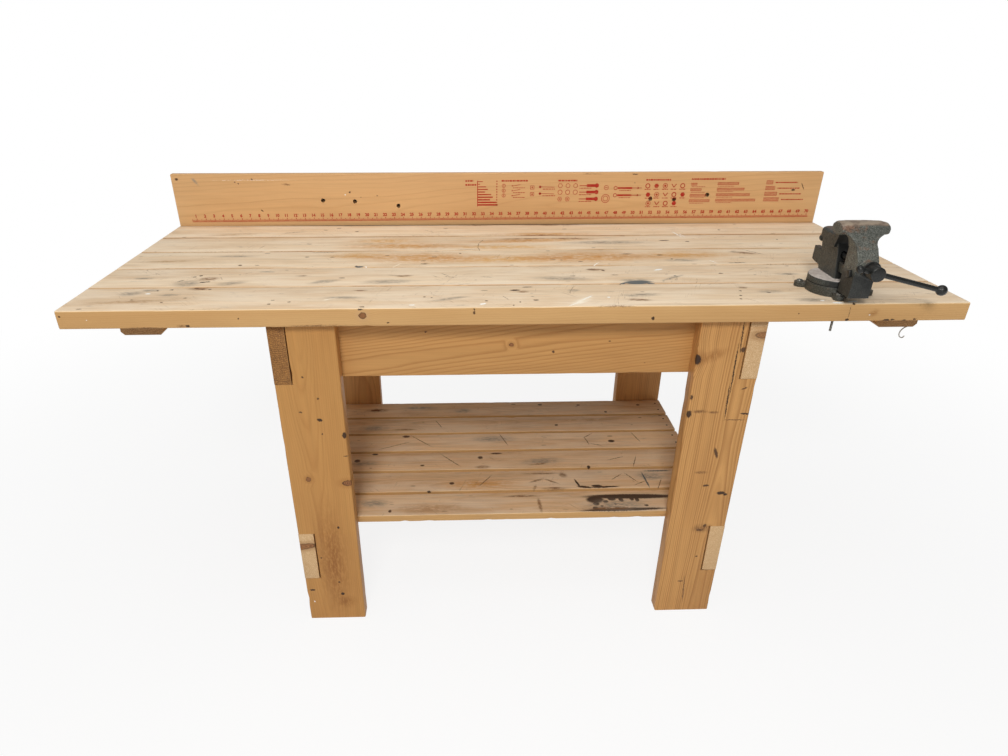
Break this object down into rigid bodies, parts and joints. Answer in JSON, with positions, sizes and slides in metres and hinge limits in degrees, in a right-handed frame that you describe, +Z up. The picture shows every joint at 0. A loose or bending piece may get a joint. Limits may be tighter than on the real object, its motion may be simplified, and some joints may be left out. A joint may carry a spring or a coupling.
{
  "type": "woodworking bench with swivel vise",
  "caption": "Free-standing softwood workbench with a planked top, slatted lower shelf, ruled backboard and a swivelling metal bench vise on the front right corner.",
  "frame": {"origin": "on the floor, under the middle of the overall box", "axes": "+X to the bench's right along its length, -Y out of the front edge, +Z up"},
  "size_m": [1.8288, 0.7904, 1.0055],
  "materials": {
    "top_wood": "worn bare softwood, fine grain, stained and scratched",
    "frame_wood": "planed softwood, weathered, with knots and a drying check",
    "shelf_wood": "grey-brown rough softwood with dark stains",
    "backboard_wood": "smooth light honey board with red printing",
    "vise_paint": "dark grey-green paint over rough cast iron, rust at the worn edges",
    "vise_steel": "dark oiled steel",
    "jaw_steel": "worn steel",
    "fastener_steel": "dull zinc",
    "hook_wire": "bright wire"
  },
  "bodies": {
    "bench": {"top_plank_1": "top_wood", "top_plank_2": "top_wood", "top_plank_3": "top_wood", "top_plank_4": "top_wood", "top_plank_5": "top_wood", "front_apron": "frame_wood", "back_apron": "frame_wood", "top_end_rail_left": "frame_wood", "top_end_rail_right": "frame_wood", "lower_end_rail_left": "frame_wood", "lower_end_rail_right": "frame_wood", "leg_front_left": "frame_wood", "leg_front_right": "frame_wood", "leg_back_left": "frame_wood", "leg_back_right": "frame_wood", "cleat_left": "frame_wood", "cleat_right": "frame_wood", "shelf_board_1": "shelf_wood", "shelf_board_2": "shelf_wood", "shelf_board_3": "shelf_wood", "shelf_board_4": "shelf_wood", "shelf_board_5": "shelf_wood", "shelf_board_6": "shelf_wood", "backboard": "backboard_wood", "shelf_nails": "fastener_steel", "cleat_screws": "fastener_steel", "apron_screws": "fastener_steel", "end_rail_screws": "fastener_steel", "backboard_screws": "fastener_steel", "vise_mount_screws": "fastener_steel", "vise_long_bolt": "fastener_steel", "vise_long_bolt_nut": "fastener_steel", "wire_hook": "hook_wire", "vise_base": "vise_paint"},
    "vise_body": {"vise_body": "vise_paint", "swivel_pivot_bolt": "vise_steel", "vise_nut": "vise_steel", "jaw_plate_fixed": "jaw_steel", "jaw_plate_screws_fixed": "jaw_steel"},
    "moving_jaw": {"vise_moving_jaw": "vise_paint", "vise_guide_bar": "vise_steel", "guide_bar_set_screw": "vise_steel", "jaw_plate_moving": "jaw_steel", "jaw_plate_screws_moving": "jaw_steel"},
    "screw": {"vise_screw": "vise_steel", "screw_retaining_ring": "vise_steel"},
    "handle": {"vise_handle_bar": "vise_steel", "vise_handle_balls": "vise_steel"}
  },
  "joints": [
    {"name": "base_swivel", "type": "hinge", "parent": "bench", "child": "vise_body", "pos_m": [0.6695, -0.23939, 0.8718], "axis": [0, 0, 1], "continuous": true},
    {"name": "jaw_slide", "type": "slide", "parent": "vise_body", "child": "moving_jaw", "axis": [-0.0349, -0.9994, 0], "range_m": [0, 0.0601]},
    {"name": "screw_turn", "type": "hinge", "parent": "moving_jaw", "child": "screw", "pos_m": [0.66531, -0.35932, 0.9302], "axis": [-0.0349, -0.9994, 0], "range_deg": [0, 3600]},
    {"name": "handle_slide", "type": "slide", "parent": "screw", "child": "handle", "axis": [0.9705, -0.0339, -0.2385], "range_m": [-0.115, 0.009]}
  ],
  "couplings": [
    {"joint": "jaw_slide", "follows": "screw_turn", "m_per_rad": 0.00095493}
  ]
}
